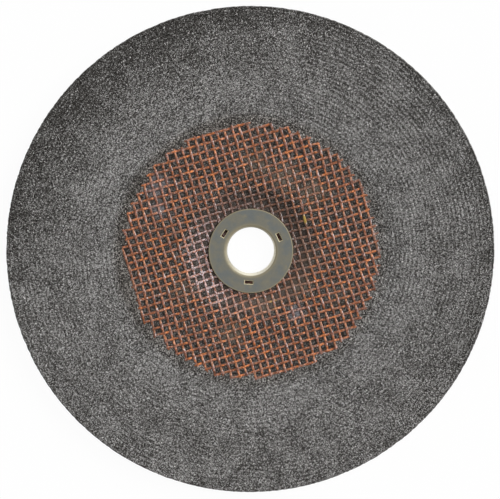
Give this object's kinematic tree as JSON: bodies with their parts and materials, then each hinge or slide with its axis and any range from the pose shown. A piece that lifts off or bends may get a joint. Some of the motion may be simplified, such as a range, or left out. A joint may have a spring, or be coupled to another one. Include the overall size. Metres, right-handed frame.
{
  "type": "grinding disc",
  "caption": "Depressed-centre abrasive disc for an angle grinder, with open glass-fibre cloth pressed into its dished face and a flanged steel ring round its bore.",
  "frame": {"origin": "on the bore axis, in the plane of the hub's seating face, which is the lowest face", "axes": "+Z along the bore axis, out of the dished face; +X and +Y are the right and the top of the picture"},
  "size_m": [0.23, 0.23, 0.0109],
  "materials": {
    "bonded_abrasive": "coarse grey grit in dark resin, matt",
    "glass_cloth": "resin-soaked open weave, brown, satin",
    "ring_steel": "dull zinc plate, worn at the edges"
  },
  "bodies": {
    "root": {"abrasive_disc": "bonded_abrasive", "glass_cloth": "glass_cloth", "centre_ring": "ring_steel"}
  },
  "joints": []
}
